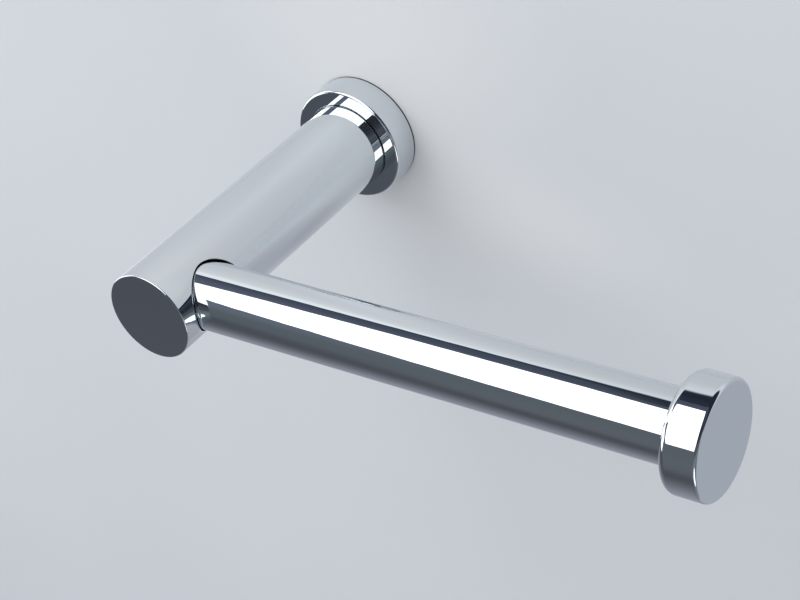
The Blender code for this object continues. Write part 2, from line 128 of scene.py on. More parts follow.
# Half of the angle that each window takes up, and where along their pieces two of them end
POST_WINDOW = math.radians(75)
POST_WINDOW_BACK = 70 * MM
GRUB_WINDOW = math.radians(15)
PIN_WINDOW = math.radians(30)
BOLT_WINDOW = math.radians(30)
BOLT_WINDOW_END = 5 * MM

X, Y, Z = Vector((1, 0, 0)), Vector((0, 1, 0)), Vector((0, 0, 1))
# An axis is where it starts, its direction, and the two directions that angles 0 and 90 degrees point to
POST_AXIS = (Vector((0, 0, 0)), -Y, X, Z)
BAR_AXIS = (Vector((0, -BAR_PROJECTION, 0)), X, -Y, Z)
GRUB_AXIS = (Vector((0, -GRUB_HEIGHT, 0)), -Z, X, Y)
PIN_AXIS = (Vector((0, 0, PIN_OFFSET)), -Y, X, Z)


def new_skin():
    """A surface in the making: its points, its faces, and the true surface direction at their corners."""
    return {"index": {}, "points": [], "faces": [], "normals": []}


def point_number(skin, point):
    """The number of a point, which is added if it is new."""
    key = tuple(round(value * GRID_STEPS) for value in point)
    if key not in skin["index"]:
        skin["index"][key] = len(skin["points"])
        skin["points"].append(tuple(point))
    return skin["index"][key]


def add_face(skin, corners):
    """Adds one face from (point, normal) pairs, wound so that it faces the way its normals do."""
    kept = []
    for point, normal in corners:
        number = point_number(skin, point)
        if number not in [other for other, _, _ in kept]:
            kept.append((number, point, normal))
    if len(kept) < 3:
        return
    facing = (kept[1][1] - kept[0][1]).cross(kept[2][1] - kept[0][1])
    if facing.dot(sum((normal for _, _, normal in kept), Vector())) < 0:
        kept.reverse()
    skin["faces"].append([number for number, _, _ in kept])
    skin["normals"].extend(normal for _, _, normal in kept)


def add_sheet(skin, rows, closed=False):
    """Adds the faces between rows of (point, normal) pairs."""
    for low, high in zip(rows, rows[1:]):
        count = len(low)
        for here in range(count if closed else count - 1):
            there = (here + 1) % count
            add_face(skin, [low[here], low[there], high[there], high[here]])


def turned_point(axis, angle, station):
    """A point of a turned surface and its normal. A station is a radius, a height and their normal."""
    start, along, side, up = axis
    radius, height, out_radius, out_height = station
    spoke = side * math.cos(angle) + up * math.sin(angle)
    return start + along * height + spoke * radius, (spoke * out_radius + along * out_height).normalized()


def add_band(skin, axis, stations, first=0.0, last=math.tau):
    """Turns a run of stations round an axis, right round or between two angles."""
    steps = round((last - first) / math.tau * TURN_STEPS)
    whole = steps == TURN_STEPS
    angles = [first + (last - first) * step / steps for step in range(steps if whole else steps + 1)]
    rows = [[turned_point(axis, angle, station) for angle in angles] for station in stations]
    add_sheet(skin, rows, closed=whole)


def outline_runs(corners):
    """Smooth runs of stations from an outline's (radius, height, edge radius) corners.

    The outline starts at the front, goes outwards and then back, so its outside is on the left.
    """
    points = [Vector((radius, height)) for radius, height, _ in corners]
    ways = [(after - before).normalized() for before, after in zip(points, points[1:])]
    outward = [Vector((-way.y, way.x)) for way in ways]
    runs, run = [], [(*points[0], *outward[0])]
    for number in range(1, len(points) - 1):
        edge = corners[number][2]
        before, after = outward[number - 1], outward[number]
        if edge == 0:
            run.append((*points[number], *before))
            runs.append(run)
            run = [(*points[number], *after)]
            continue
        turn = before.angle_signed(after)  # clockwise is positive: an outside corner
        reach = edge * math.tan(abs(turn) / 2)
        bulge = math.copysign(edge, turn)
        centre = points[number] - ways[number - 1] * reach - before * bulge
        for step in range(ARC_STEPS + 1):
            normal = Matrix.Rotation(-turn * step / ARC_STEPS, 2) @ before
            run.append((*(centre + normal * bulge), *normal))
    run.append((*points[-1], *outward[-1]))
    runs.append(run)
    return runs


def add_turned(skin, axis, corners):
    """Turns an outline's (radius, height, edge radius) corners right round an axis."""
    for run in outline_runs(corners):
        add_band(skin, axis, run)


def side_of(radius, outward=1):
    """The stations of a straight side, as a function of the height."""
    return lambda height: (radius, height, outward, 0)


def flat_at(height, outward):
    """The stations of a flat across the axis, as a function of the radius."""
    return lambda radius: (radius, height, 0, outward)


def hole_in_side(radius, hole_radius, height, around):
    """Where a cross hole's edge meets a turned side, as a function that gives (angle, height)."""

    def edge(turn):
        across, along = hole_radius * math.sin(turn), hole_radius * math.cos(turn)
        return around + math.asin(across / radius), height + along

    return edge


def window_frame(first, last, low, high):
    """The border of a window in a turned surface, as (angle, height) points, at the steps of the turning."""
    across = round((last - first) / math.tau * TURN_STEPS)
    down = max(2, across // WINDOW_ROW_STEPS)
    angles = [first + (last - first) * step / across for step in range(across + 1)]
    heights = [low + (high - low) * step / down for step in range(down + 1)]
    border = [(angle, high) for angle in angles[:-1]]
    border += [(last, height) for height in reversed(heights[1:])]
    border += [(angle, low) for angle in reversed(angles[1:])]
    border += [(first, height) for height in heights[:-1]]
    return border, heights


def window_turns(border, middle_angle, middle, stretch):
    """The turn round the hole that belongs to each border point."""
    return [math.atan2((angle - middle_angle) * stretch, height - middle) for angle, height in border]


def add_window(skin, axis, border, turns, edge, station_at):
    """Fills the surface between a window's border and the hole in it."""
    rows = []
    for ring in range(WINDOW_RINGS + 1):
        share = (ring / WINDOW_RINGS) ** WINDOW_CROWDING
        row = []
        for (angle, height), turn in zip(border, turns):
            hole_angle, hole_height = edge(turn)
            station = station_at(hole_height + (height - hole_height) * share)
            row.append(turned_point(axis, hole_angle + (angle - hole_angle) * share, station))
        rows.append(row)
    add_sheet(skin, rows, closed=True)
    return rows[0]


def hole_wall(skin, axis_point, direction, outer, inner):
    """The bore between a hole's edge on one surface and its edge on the next."""

    def facing(point):
        spoke = axis_point - point
        return (spoke - direction * spoke.dot(direction)).normalized()

    add_sheet(skin, [[(point, facing(point)) for point, _ in row] for row in (outer, inner)], closed=True)


def finish_piece(skin, name, material, node):
    """Makes the object, with the true surface directions, in place of its plain solid."""
    mesh = bpy.data.meshes.new(name)
    mesh.from_pydata(skin["points"], [], skin["faces"])
    mesh.polygons.foreach_set("use_smooth", [True] * len(mesh.polygons))
    mesh.normals_split_custom_set(skin["normals"])
    mesh.materials.append(material)
    piece = bpy.data.objects.new(name, mesh)
    bpy.context.scene.collection.objects.link(piece)
    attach(piece, "root")
    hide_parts(node)


def lip_radius(turn):
    """The radius of the rolled lip round the bar's hole: soft on the hole's front, crisp towards the wall."""
    forwards = max(math.cos(turn), 0)
    return BAR_HOLE_BACK_LIP + (BAR_HOLE_LIP - BAR_HOLE_BACK_LIP) * forwards**3


def lip_middle(turn):
    """Where the middle of that lip's round runs, as (angle, height) on the post."""
    lip = lip_radius(turn)
    up = (BAR_HOLE_RADIUS + lip) * math.sin(turn)
    out = (BAR_HOLE_RADIUS + lip) * math.cos(turn) - BAR_HOLE_SHIFT
    return math.asin(up / (POST_RADIUS - lip)), BAR_PROJECTION + out


def add_lip(skin, outer, turns):
    """Rolls the lip from the post's side into the bar's hole, and returns where it ends."""
    rows = [outer] + [[] for _ in range(LIP_STEPS)]
    for (point, out), turn in zip(outer, turns):
        lip = lip_radius(turn)
        centre = point - out * lip
        spoke = BAR_AXIS[0] - centre
        inwards = (spoke - X * spoke.x).normalized()
        for step in range(1, LIP_STEPS + 1):
            normal = out.slerp(inwards, step / LIP_STEPS)
            rows[step].append((centre + normal * lip, normal))
    add_sheet(skin, rows, closed=True)
    return rows[-1]


def make_post(material):
    """The tube with its closed, flat front and the hole that the roll bar comes out of."""
    skin = new_skin()
    side_top = POST_FRONT - POST_EDGE_RADIUS
    front = [(0, POST_FRONT, 0), (POST_RADIUS, POST_FRONT, POST_EDGE_RADIUS), (POST_RADIUS, side_top, 0)]
    add_turned(skin, POST_AXIS, front)
    border, heights = window_frame(-POST_WINDOW, POST_WINDOW, POST_WINDOW_BACK, side_top)
    turns = window_turns(border, 0, BAR_PROJECTION, POST_RADIUS)
    outer = add_window(skin, POST_AXIS, border, turns, lip_middle, side_of(POST_RADIUS))
    inner_border, inner_heights = window_frame(-POST_WINDOW, POST_WINDOW, POST_WINDOW_BACK, POST_BORE_END)
    inner_edge = hole_in_side(POST_BORE_RADIUS, BAR_HOLE_RADIUS, BAR_PROJECTION, 0)
    inner = add_window(skin, POST_AXIS, inner_border, turns, inner_edge, side_of(POST_BORE_RADIUS, -1))
    hole_wall(skin, BAR_AXIS[0], X, add_lip(skin, outer, turns), inner)
    # the rest of the side, with its rows at the window's
    for radius, outward, levels in ((POST_RADIUS, 1, heights), (POST_BORE_RADIUS, -1, inner_heights)):
        stations = [(radius, height, outward, 0) for height in levels]
        add_band(skin, POST_AXIS, stations, first=POST_WINDOW, last=math.tau - POST_WINDOW)
    tube = [
        (POST_RADIUS, POST_WINDOW_BACK, 0),
        (POST_RADIUS, POST_BACK, BROKEN_EDGE),
        (POST_BORE_RADIUS, POST_BACK, BROKEN_EDGE),
        (POST_BORE_RADIUS, POST_WINDOW_BACK, 0),
    ]
    add_turned(skin, POST_AXIS, tube)
    add_turned(skin, POST_AXIS, [(POST_BORE_RADIUS, POST_BORE_END, 0), (0, POST_BORE_END, 0)])
    finish_piece(skin, "post_tube", material, "post")


def add_rose_skirt(skin, side_back, side_top):
    """The rose's side, outside and inside, with the grub screw's hole through it from below."""
    below = -math.pi / 2
    first, last = below - GRUB_WINDOW, below + GRUB_WINDOW
    outer_border, heights = window_frame(first, last, side_back, side_top)
    inner_border, inner_heights = window_frame(first, last, side_back, WEB_BACK)
    turns = window_turns(outer_border, below, GRUB_HEIGHT, ROSE_RADIUS)
    rings = []
    for radius, outward, border in ((ROSE_RADIUS, 1, outer_border), (ROSE_INNER_RADIUS, -1, inner_border)):
        edge = hole_in_side(radius, GRUB_HOLE_RADIUS, GRUB_HEIGHT, below)
        rings.append(add_window(skin, POST_AXIS, border, turns, edge, side_of(radius, outward)))
    hole_wall(skin, GRUB_AXIS[0], Z, *rings)
    for radius, outward, levels in ((ROSE_RADIUS, 1, heights), (ROSE_INNER_RADIUS, -1, inner_heights)):
        stations = [(radius, height, outward, 0) for height in levels]
        add_band(skin, POST_AXIS, stations, first=last, last=first + math.tau)


def add_rose_web(skin):
    """The web between the recess and the inside, with the bolt's hole and the pin's above it."""
    above = math.pi / 2
    first, last = above - PIN_WINDOW, above + PIN_WINDOW
    border, radii = window_frame(first, last, BOLT_HOLE_RADIUS, RECESS_RADIUS)
    turns = window_turns(border, above, PIN_OFFSET, PIN_OFFSET)

    def pin_edge(turn):
        across, up = PIN_HOLE_RADIUS * math.sin(turn), PIN_OFFSET + PIN_HOLE_RADIUS * math.cos(turn)
        return above - math.atan2(-across, up), math.hypot(across, up)

    rings = []
    for height, outward in ((RECESS_FLOOR, 1), (WEB_BACK, -1)):
        rings.append(add_window(skin, POST_AXIS, border, turns, pin_edge, flat_at(height, outward)))
        stations = [(radius, height, 0, outward) for radius in radii]
        add_band(skin, POST_AXIS, stations, first=last, last=first + math.tau)
    rim = [(RECESS_RADIUS, WEB_BACK, 0, -1), (ROSE_INNER_RADIUS, WEB_BACK, 0, -1)]
    add_band(skin, POST_AXIS, rim)
    hole_wall(skin, PIN_AXIS[0], Y, *rings)
    add_band(skin, POST_AXIS, [(BOLT_HOLE_RADIUS, WEB_BACK, -1, 0), (BOLT_HOLE_RADIUS, RECESS_FLOOR, -1, 0)])


def make_rose(material):
    """The turned cup on the wall, with the recess that the post stands in."""
    skin = new_skin()
    side_top = ROSE_FRONT - ROSE_EDGE_RADIUS
    side_back = ROSE_BACK + BROKEN_EDGE
    add_rose_skirt(skin, side_back, side_top)
    add_rose_web(skin)
    front = [
        (RECESS_RADIUS, RECESS_FLOOR, 0),
        (RECESS_RADIUS, ROSE_FRONT, BROKEN_EDGE),
        (ROSE_RADIUS, ROSE_FRONT, ROSE_EDGE_RADIUS),
        (ROSE_RADIUS, side_top, 0),
    ]
    back = [
        (ROSE_RADIUS, side_back, 0),
        (ROSE_RADIUS, ROSE_BACK, BROKEN_EDGE),
        (ROSE_INNER_RADIUS, ROSE_BACK, BROKEN_EDGE),
        (ROSE_INNER_RADIUS, side_back, 0),
    ]
    add_turned(skin, POST_AXIS, front)
    add_turned(skin, POST_AXIS, back)
    finish_piece(skin, "rose_cup", material, "rose")


def make_roll_bar(material):
    """The tube for the roll, drilled across near its inner end for the tie bolt."""
    skin = new_skin()
    back = math.pi
    first, last = back - BOLT_WINDOW, back + BOLT_WINDOW
    start = BAR_START + BROKEN_EDGE
    border, heights = window_frame(first, last, start, BOLT_WINDOW_END)
    turns = window_turns(border, back, 0, BAR_RADIUS)
    rings = []
    for radius, outward in ((BAR_RADIUS, 1), (BAR_BORE_RADIUS, -1)):
        edge = hole_in_side(radius, BOLT_HOLE_RADIUS, 0, back)
        rings.append(add_window(skin, BAR_AXIS, border, turns, edge, side_of(radius, outward)))
        stations = [(radius, height, outward, 0) for height in heights]
        add_band(skin, BAR_AXIS, stations, first=last, last=first + math.tau)
    hole_wall(skin, BAR_AXIS[0], Y, *rings)
    outer_end = [
        (BAR_BORE_RADIUS, BOLT_WINDOW_END, 0),
        (BAR_BORE_RADIUS, BAR_END, BROKEN_EDGE),
        (BAR_RADIUS, BAR_END, BROKEN_EDGE),
        (BAR_RADIUS, BOLT_WINDOW_END, 0),
    ]
    inner_end = [
        (BAR_RADIUS, start, 0),
        (BAR_RADIUS, BAR_START, BROKEN_EDGE),
        (BAR_BORE_RADIUS, BAR_START, BROKEN_EDGE),
        (BAR_BORE_RADIUS, start, 0),
    ]
    add_turned(skin, BAR_AXIS, outer_end)
    add_turned(skin, BAR_AXIS, inner_end)
    finish_piece(skin, "roll_bar_tube", material, "roll_bar")


def make_end_disc(material):
    """The disc: a small round edge on its outer face, a soft one towards the roll, a hole for its stud."""
    skin = new_skin()
    outline = [
        (0, DISC_OUTER, 0),
        (DISC_RADIUS, DISC_OUTER, DISC_OUTER_EDGE_RADIUS),
        (DISC_RADIUS, DISC_INNER, DISC_INNER_EDGE_RADIUS),
        (STUD_HOLE_RADIUS, DISC_INNER, BROKEN_EDGE),
        (STUD_HOLE_RADIUS, STUD_HOLE_END, 0),
        (0, STUD_HOLE_END, 0),
    ]
    add_turned(skin, BAR_AXIS, outline)
    finish_piece(skin, "end_disc_turned", material, "end_disc")


# What a node for sums does, and how a range eases
PLUS, MINUS, TIMES = {"operation": "ADD"}, {"operation": "SUBTRACT"}, {"operation": "MULTIPLY"}
TIMES_PLUS = {"operation": "MULTIPLY_ADD"}
LARGER = {"operation": "MAXIMUM"}
DOT, LENGTH, DISTANCE = {"operation": "DOT_PRODUCT"}, {"operation": "LENGTH"}, {"operation": "DISTANCE"}
SOFTLY = {"interpolation_type": "SMOOTHSTEP"}


def colour(code):
    """An sRGB hex code as linear red, green, blue and alpha."""
    shares = [int(code[place : place + 2], 16) / 255 for place in (1, 3, 5)]
    return (*(s / 12.92 if s <= 0.04045 else ((s + 0.055) / 1.055) ** 2.4 for s in shares), 1.0)


def add(tree, kind, settings=None, **inputs):
    """Adds a node with its settings and inputs.

    An input is a value, or another node to link. It is found by its name, or as i and its number.
    """
    made = tree.nodes.new("ShaderNode" + kind)
    for name, value in (settings or {}).items():
        if name == "tones":
            marks = made.color_ramp.elements
            while len(marks) < len(value):
                marks.new(1.0)
            for mark, (share, code) in zip(marks, value):
                mark.position, mark.color = share, colour(code)
        else:
            setattr(made, name, value)
    for name, value in inputs.items():
        socket = made.inputs[int(name[1:]) if name[1:].isdigit() else name.replace("_", " ")]
        if isinstance(value, bpy.types.Node):
            value = value.outputs[0]
        if isinstance(value, bpy.types.NodeSocket):
            tree.links.new(value, socket)
        else:
            socket.default_value = value
    return made


def new_finish(name):
    """An empty material and its node tree."""
    material = bpy.data.materials.new(name)
    material.use_nodes = True
    material.node_tree.nodes.clear()
    return material, material.node_tree


def per_metre(size):
    """A pattern's scale from the real size of one of its grains."""
    return 1 / size


def bright_chrome():
    """Bright chromium plate over nickel on polished brass: a clear, slightly cool mirror.

    The eye sees what stands round it, with hardly any surface of its own: a haze where it was wiped, and a
    waviness of the polished tube so shallow that straight edges stay straight.
    """
    material, tree = new_finish("bright_chrome_plate")
    place = add(tree, "TexCoord").outputs["Object"]
    wiping = add(tree, "TexNoise", Vector=place, Scale=per_metre(22 * MM), Detail=3.0, Roughness=0.6)
    haze = add(tree, "MapRange", Value=wiping, From_Min=0.35, From_Max=0.75, To_Min=0.018, To_Max=0.045)
    polish = add(tree, "TexNoise", Vector=place, Scale=per_metre(9 * MM), Detail=1.0, Roughness=0.4)
    waviness = add(tree, "Bump", Strength=0.05, Distance=0.6 * MM, Height=polish)
    plate = add(
        tree, "BsdfPrincipled", Base_Color=colour("#DEE3E7"), Metallic=1.0, Roughness=haze, Normal=waviness
    )
    add(tree, "OutputMaterial", Surface=plate)
    return material


def turned_metal(name, bright, dull, shine, axis):
    """Bar stock turned on a lathe: fine rings from the tool round its axis, over a soft unevenness of tone.

    The tool moves on about 0.1 mm with each turn. The rings are drawn 0.3 mm apart, so that they show.
    """
    start, along, _, _ = axis
    material, tree = new_finish(name)
    place = add(tree, "TexCoord").outputs["Object"]
    from_start = add(tree, "VectorMath", MINUS, i0=place, i1=start)
    height = add(tree, "VectorMath", DOT, i0=from_start, i1=along).outputs["Value"]
    foot = add(tree, "VectorMath", {"operation": "SCALE"}, i0=along, Scale=height)
    radius = add(tree, "VectorMath", DISTANCE, i0=from_start, i1=foot).outputs["Value"]
    feed = add(tree, "Math", PLUS, i0=height, i1=radius)
    turns = add(tree, "Math", TIMES, i0=feed, i1=math.tau * per_metre(0.3 * MM))
    rings = add(tree, "Math", {"operation": "SINE"}, i0=turns)
    grooves = add(tree, "Bump", Strength=0.25, Distance=0.02 * MM, Height=rings)
    handled = add(tree, "TexNoise", Vector=place, Scale=per_metre(4 * MM), Detail=4.0, Roughness=0.6)
    tone = add(tree, "ValToRGB", {"tones": [(0.3, dull), (0.7, bright)]}, Fac=handled)
    gloss = add(tree, "MapRange", Value=handled, From_Min=0.3, From_Max=0.7, To_Min=shine + 0.1, To_Max=shine)
    metal = add(tree, "BsdfPrincipled", Base_Color=tone, Metallic=1.0, Roughness=gloss, Normal=grooves)
    add(tree, "OutputMaterial", Surface=metal)
    return material


def zinc_plate():
    """Bright zinc plate, passivated blue, on rolled screws: spangled blue-white, with traces of straw."""
    material, tree = new_finish("blue_passivated_zinc_plate")
    place = add(tree, "TexCoord").outputs["Object"]
    film = add(tree, "TexNoise", Vector=place, Scale=per_metre(3 * MM), Detail=3.0, Roughness=0.55)
    tones = [(0.3, "#C9C6B4"), (0.45, "#D0D3D6"), (0.6, "#C6CFD9"), (0.75, "#D6DAD8")]
    tone = add(tree, "ValToRGB", {"tones": tones}, Fac=film)
    spangle = add(tree, "TexVoronoi", Vector=place, Scale=per_metre(0.5 * MM)).outputs["Distance"]
    gloss = add(tree, "MapRange", Value=spangle, From_Min=0.0, From_Max=0.8, To_Min=0.22, To_Max=0.38)
    skin = add(tree, "Bump", Strength=0.15, Distance=0.03 * MM, Height=spangle)
    zinc = add(tree, "BsdfPrincipled", Base_Color=tone, Metallic=1.0, Roughness=gloss, Normal=skin)
    add(tree, "OutputMaterial", Surface=zinc)
    return material


def moulded_nylon():
    """Grey nylon as it leaves the mould: satin, a little cloudy, with the grain of a spark-eroded cavity."""
    material, tree = new_finish("moulded_grey_nylon")
    place = add(tree, "TexCoord").outputs["Object"]
    cloud = add(tree, "TexNoise", Vector=place, Scale=per_metre(5 * MM), Detail=3.0, Roughness=0.5)
    tone = add(tree, "ValToRGB", {"tones": [(0.3, "#A6A8AC"), (0.7, "#B4B6BA")]}, Fac=cloud)
    grain = add(tree, "TexNoise", Vector=place, Scale=per_metre(0.25 * MM), Detail=2.0, Roughness=0.6)
    skin = add(tree, "Bump", Strength=0.3, Distance=0.04 * MM, Height=grain)
    gloss = add(tree, "MapRange", Value=grain, From_Min=0.3, From_Max=0.7, To_Min=0.42, To_Max=0.56)
    plastic = add(tree, "BsdfPrincipled", Base_Color=tone, Roughness=gloss, IOR=1.53, Normal=skin)
    add(tree, "OutputMaterial", Surface=plastic)
    return material


def finish_fittings():
    """The solids that stay as they are get the finish of what they are made of."""
    brass = ("#D9B36A", "#C29A52", 0.24)
    steel = ("#C4C6C9", "#B0B2B6", 0.26)
    around_post = turned_metal("turned_brass_foot", *brass, POST_AXIS)
    around_bar = turned_metal("turned_brass_plugs", *brass, BAR_AXIS)
    steel_on_post = turned_metal("turned_steel_bracket", *steel, POST_AXIS)
    steel_on_bar = turned_metal("turned_steel_stud", *steel, BAR_AXIS)
    finishes = {
        "post_foot": around_post,
        "bar_anchor": around_bar,
        "bar_end_plug": around_bar,
        "wall_bracket": steel_on_post,
        "spring_washer": steel_on_post,
        "disc_stud": steel_on_bar,
        "rose_grub_screw": turned_metal("turned_steel_grub_screw", *steel, GRUB_AXIS),
        "locating_pin": turned_metal("ground_steel_pin", *steel, PIN_AXIS),
    }
    zinc, nylon = zinc_plate(), moulded_nylon()
    for node in ("bracket_screw_left", "bracket_screw_right", "tie_bolt"):
        finishes[node] = zinc
    for node in ("wall_plug_left", "wall_plug_right"):
        finishes[node] = nylon
    for node, finish in finishes.items():
        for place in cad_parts[node].material_slots:
            place.material = finish


# The camera as the photograph was taken: its place, and its turns about X, Y and Z in degrees
CAMERA_PLACE = Vector((293.885, -351.369, 256.555)) * MM
CAMERA_TURNS = (54.8111, 8.5644, 33.7993)
FOCAL_PIXELS = 1810.481
IMAGE_PIXELS = 800
SENSOR_WIDTH = 36

# The wall, the floor and the lamps. Places on the stage are in metres.
REACH = 1.5  # of the wall, to all sides
WALL_SETBACK = 0.02 * MM  # so that the sheet and the bracket's back don't coincide
# painted shade: the wall is painted dark in the gap behind the rose's rim, fading out over these widths
SHADOW_GAP_EDGE = 0.15 * MM  # how far inside the rose's outline the dark of the gap behind it starts to fade
SHADOW_GAP_FADE = 0.2 * MM  # and over what width it does
PAINT_OPENING = 0.1 * MM  # how far it clears the bracket
FLOOR_HEIGHT = -0.9
FAR_FLOOR_REACH = 90
FAR_FLOOR_DROP = 1 * MM
LAMP_AIM = Vector((0.07, -0.05, 0))
# which way each lamp lies, its distance and width in metres, and its power in watts
LAMPS = {
    "upper_left_lamp": {"way": (-0.6, -0.3, 0.75), "distance": 1.0, "width": 1.0, "power": 7.7},
    "top_lamp": {"way": (0.0, -0.35, 0.94), "distance": 0.9, "width": 1.0, "power": 1.6},
}
EVEN_LIGHT = 0.81
# painted light: where the wall's colour is mixed lighter for the light that the chrome throws back on it: its
# middle, stretch and reach
THROWN_LIGHT = [
    (Vector((12, 0, 26)) * MM, (1, 1, 1), 70 * MM),
    (Vector((38, 0, -21)) * MM, (0.5, 1, 1.2), 36 * MM),
]

# What the chrome mirrors
ROOM_RADIUS = 1.8
ROOM_SIDES = 96
ROOM_RINGS = 48
ROOM_BACK = 0.02  # how far behind the wall's plane it still reaches
CLOTH_GLOW = 2.0
SOFTBOX_PLACE = Vector((-0.008, -0.739, 0.719))
SOFTBOX_WAY = Vector((-0.5, -0.56, 0.66)).normalized()
SOFTBOX_RADIUS = 0.668
SOFTBOX_STEPS = 64
PANEL_AIM = Vector((0.0, -0.06, 0))
PANEL_DISTANCE = 0.9
# light panels by their corners' directions from the holder: degrees to the right of straight out, and up
PANELS = {
    "low_right_panel": [
        (40, -20), (45, -15), (52, -18), (60, -27), (68, -37), (67, -44), (52, -41), (38, -31),
    ],
    "left_strip_panel": [(-47.5, -13), (-47.5, 9.5), (-95, 9.5), (-95, -13)],
    "left_high_panel": [
        (-22, 42), (-22, 54), (-46, 48), (-60, 43), (-80, 41), (-96, 40),
        (-96, 8), (-80, 8), (-71, 20), (-56, 33), (-40, 40),
    ],
}
# the dim room: the tones seen there by degrees up, on its left, in its middle and on its right
LEFT_TONES = [
    (-90, "#90939D"), (-70, "#777981"), (-60, "#676971"), (-50, "#5A5C62"), (-40, "#53575E"),
    (-30, "#525760"), (-20, "#5D636B"), (0, "#62696F"), (12, "#6D7582"), (75, "#5E6374"), (90, "#4B5261"),
]
MIDDLE_TONES = [
    (-90, "#90939D"), (-70, "#777981"), (-60, "#686A72"), (-52, "#5A5C62"), (-46, "#54565C"),
    (-40, "#575A60"), (-34, "#60636A"), (-28, "#65696F"), (-12, "#656B71"), (0, "#62696F"),
    (12, "#62676F"), (75, "#5E6374"), (90, "#4B5261"),
]
RIGHT_TONES = [
    (-90, "#90939D"), (-45, "#646E72"), (-17, "#888C92"), (0, "#696C71"), (7, "#55555C"),
    (16, "#5A5F64"), (25, "#44474E"), (35, "#33363D"), (60, "#363A42"), (90, "#4B5261"),
]
# the glowing card that the chrome mirrors as the wall, with the wall's light and shade painted into its tones
# by height
CARD_REACH = ROOM_RADIUS * 1.05  # to all sides, past the room's rim
CARD_HEIGHT = 1 * MM
CARD_LOW, CARD_HIGH = -1.2, 0.3
CARD_TONES = [
    (-1.2, "#90939D"), (-0.35, "#9295A0"), (-0.22, "#9A9DA7"), (-0.12, "#B2B4BC"), (-0.06, "#B5B7C0"),
    (-0.03, "#C2C4C9"), (0.01, "#C8CBD0"), (0.03, "#D4D8DC"), (0.06, "#D8DADE"), (0.12, "#E0E2E5"),
    (0.16, "#E6E8EA"), (0.24, "#EAEEF1"),
]
# painted light: its lit part ends above in a slanted line, with a painted highlight just under it: the way
# square to it, how far out it lies, the tones across it
SLANT = Vector((0.5884, 0, 0.8087))
SLANT_LINE = 0.195
SLANT_SPAN = 0.2
SLANT_TONES = [(0.3, "#E9EEF1"), (0.46, "#EDF1F8"), (0.5, "#B0B4BC"), (0.56, "#2A303E"), (1.0, "#434B56")]
OVER_ROLL = (1, 0, 0.42)  # the way in which it gets darker past that line
# the middle of the post's painted shadow on the card
POST_SHADOW = (0.016, 0, -0.05)


def make_camera():
    """Looks at the holder as the photograph does, from its right and above."""
    data = bpy.data.cameras.new("photo_camera")
    data.lens = FOCAL_PIXELS * SENSOR_WIDTH / IMAGE_PIXELS
    data.sensor_width = SENSOR_WIDTH
    camera = bpy.data.objects.new("photo_camera", data)
    turns = Euler([math.radians(degrees) for degrees in CAMERA_TURNS])
    camera.matrix_world = Matrix.LocRotScale(CAMERA_PLACE, turns, None)
    bpy.context.scene.collection.objects.link(camera)
    bpy.context.scene.camera = camera


def stage_mesh(name, points, faces, material, only_mirrored=False):
    """Adds a piece of the stage. If it is only mirrored, the camera and the light on the wall pass it by."""
    mesh = bpy.data.meshes.new(name)
    mesh.from_pydata([tuple(point) for point in points], [], faces)
    mesh.materials.append(material)
    piece = bpy.data.objects.new(name, mesh)
    bpy.context.scene.collection.objects.link(piece)
    if only_mirrored:
        piece.visible_camera = piece.visible_diffuse = piece.visible_transmission = False
        piece.visible_shadow = piece.visible_volume_scatter = False
    return piece


def wall_paint_with_painted_light_and_shade():
    """Flat pale grey wall paint, very faintly uneven, with painted light and shade: mixed a shade lighter
    where the chrome throws light on it, and painted dark as shade in the gap behind the rose.

    From behind it lets the eye through, and it is open where the bracket's back lies on it.
    """
    material, tree = new_finish("matt_wall_paint_with_painted_light_and_shade")
    place = add(tree, "NewGeometry")
    position = place.outputs["Position"]
    cloud = add(tree, "TexNoise", Vector=position, Scale=per_metre(120 * MM), Detail=2.0)
    tone = add(tree, "MixRGB", Fac=cloud, Color1=colour("#CBCFD5"), Color2=colour("#D0D4DA"))
    # painted light: the paint is mixed softly lighter above the rose and to its lower right, for the light
    # that the chrome throws back on it
    for middle, stretch, reach in THROWN_LIGHT:
        apart = add(tree, "VectorMath", MINUS, i0=position, i1=middle)
        apart = add(tree, "VectorMath", TIMES, i0=apart, i1=stretch)
        apart = add(tree, "VectorMath", LENGTH, i0=apart).outputs["Value"]
        thrown = add(tree, "MapRange", SOFTLY, Value=apart, From_Min=reach, From_Max=0.0)
        tone = add(tree, "MixRGB", Fac=thrown, Color1=tone, Color2=colour("#D7DADD"))
    # painted shade: the paint is mixed to near black in the gap behind the rose, where the shade falls
    distance = add(tree, "VectorMath", LENGTH, i0=position).outputs["Value"]
    gap_edge = ROSE_RADIUS - SHADOW_GAP_EDGE
    painted_gap_shade = add(tree, "MapRange", Value=distance, From_Min=gap_edge, From_Max=gap_edge + SHADOW_GAP_FADE)
    tone = add(tree, "MixRGB", Fac=painted_gap_shade, Color1=colour("#1E2024"), Color2=tone)
    paint = add(tree, "BsdfDiffuse", Color=tone)
    covered = add(tree, "Math", {"operation": "LESS_THAN"}, i0=distance, i1=BRACKET_RADIUS + PAINT_OPENING)
    see_through = add(tree, "Math", LARGER, i0=place.outputs["Backfacing"], i1=covered)
    side = add(tree, "MixShader", i0=see_through, i1=paint, i2=add(tree, "BsdfTransparent"))
    add(tree, "OutputMaterial", Surface=side)
    return material


def square(reach):
    """The corners of a square round the origin."""
    return [(-reach, -reach), (reach, -reach), (reach, reach), (-reach, reach)]


